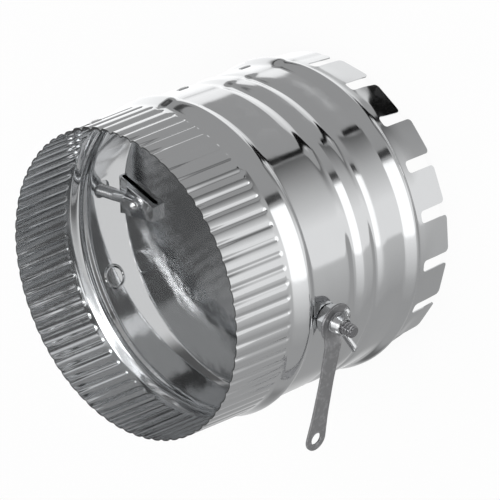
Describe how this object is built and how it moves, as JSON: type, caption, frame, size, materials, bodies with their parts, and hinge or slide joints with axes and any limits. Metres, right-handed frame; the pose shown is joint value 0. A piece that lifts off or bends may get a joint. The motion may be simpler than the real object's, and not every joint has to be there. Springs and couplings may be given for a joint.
{
  "type": "starting collar with damper",
  "caption": "Galvanised sheet-steel starting collar for round duct: bend-over tabs, seating and stop beads, crimped end, and a damper blade turned by an outside lever locked with a wing nut.",
  "frame": {"origin": "on the duct axis in the plane of the tab ends, where the collar stands on a table or enters the trunk duct", "axes": "+Z along the duct axis from the tabs to the crimped rim; +X along the damper pins from the tail pin to the lever; +Y makes the frame right-handed"},
  "size_m": [0.1785, 0.1572, 0.1397],
  "materials": {
    "galvanised_sheet": "bright galvanised sheet, faint spangle",
    "galvanised_blade": "bright galvanised sheet, near mirror",
    "zinc_plated": "bright zinc plate",
    "lever_steel": "dull zinc plate, stamped strip"
  },
  "bodies": {
    "sleeve": {"collar_sleeve": "galvanised_sheet"},
    "damper": {"damper_blade": "galvanised_blade", "lever_clip": "galvanised_sheet", "tail_clip": "galvanised_sheet", "lever_pin": "zinc_plated", "tail_pin": "zinc_plated", "lever_nut": "zinc_plated", "tail_nut": "zinc_plated", "lever_handle": "lever_steel"},
    "washer": {"spring_washer": "zinc_plated"},
    "wing": {"wing_nut": "zinc_plated"}
  },
  "joints": [
    {"name": "damper_turn", "type": "hinge", "parent": "sleeve", "child": "damper", "pos_m": [0, 0, 0.084], "axis": [1, 0, 0], "continuous": true},
    {"name": "washer_lift", "type": "slide", "parent": "damper", "child": "washer", "axis": [1, 0, 0], "range_m": [0, 0.00127]},
    {"name": "wing_nut_turn", "type": "hinge", "parent": "washer", "child": "wing", "pos_m": [0.084, 0, 0.084], "axis": [1, 0, 0], "range_deg": [0, 360]}
  ],
  "couplings": [
    {"joint": "wing_nut_turn", "follows": "washer_lift", "rad_per_m": 4947.4}
  ]
}
